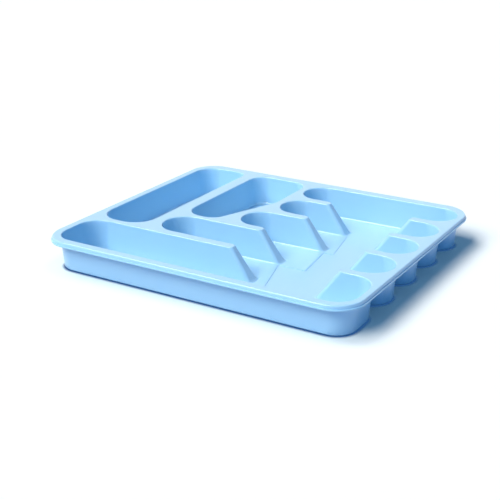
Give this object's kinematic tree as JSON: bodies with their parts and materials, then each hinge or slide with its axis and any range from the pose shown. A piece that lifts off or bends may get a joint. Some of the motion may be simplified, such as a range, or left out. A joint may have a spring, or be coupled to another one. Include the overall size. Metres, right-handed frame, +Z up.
{
  "type": "cutlery tray",
  "caption": "Rectangular moulded drawer insert with open rounded troughs, some joined by a cross opening with sloped divider ends, under a flat flange.",
  "frame": {"origin": "centre of the flat underside that the tray rests on", "axes": "+Z up, +X along the long troughs towards the short pockets at their ends, +Y from the front trough to the back"},
  "size_m": [0.403, 0.357, 0.04],
  "materials": {
    "tray": "smooth moulded polypropylene with a soft gloss"
  },
  "bodies": {
    "root": {"tray": "tray"}
  },
  "joints": []
}
